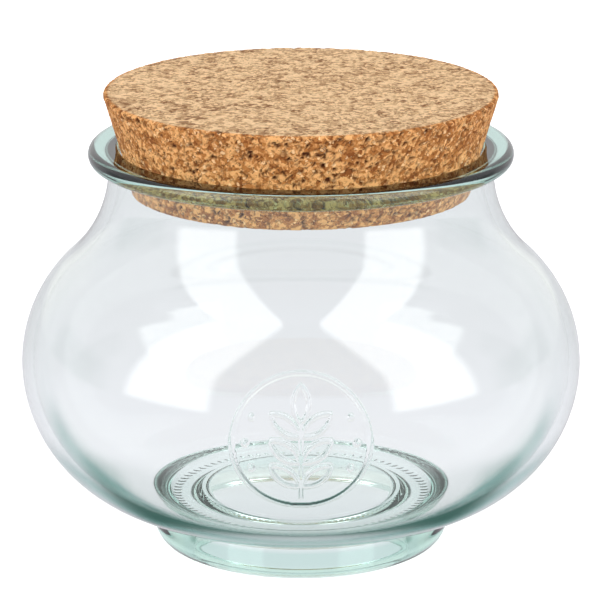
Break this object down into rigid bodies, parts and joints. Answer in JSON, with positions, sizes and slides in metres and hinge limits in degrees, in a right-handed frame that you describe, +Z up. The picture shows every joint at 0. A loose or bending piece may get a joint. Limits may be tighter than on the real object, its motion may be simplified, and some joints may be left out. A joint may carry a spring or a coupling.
{
  "type": "glass jar with cork lid",
  "caption": "Squat bulb-shaped glass storage jar with a beaded rim, a foot ring and a tapered cork stopper that lifts out of the mouth.",
  "frame": {"origin": "middle of the foot ring's resting plane, on the jar's axis", "axes": "+Z up along the jar's axis, the raised badge on the belly faces -Y"},
  "size_m": [0.142, 0.1424, 0.118],
  "materials": {
    "jar_glass": "clear pressed glass with a faint green tint where it is thick",
    "cork": "pressed cork granules, matt, sanded top face, open pits on the side"
  },
  "bodies": {
    "jar": {"glass_jar": "jar_glass"},
    "stopper": {"cork_stopper": "cork"}
  },
  "joints": [
    {"name": "stopper_lift", "type": "slide", "parent": "jar", "child": "stopper", "axis": [0, 0, 1], "range_m": [0, 0.06]}
  ]
}
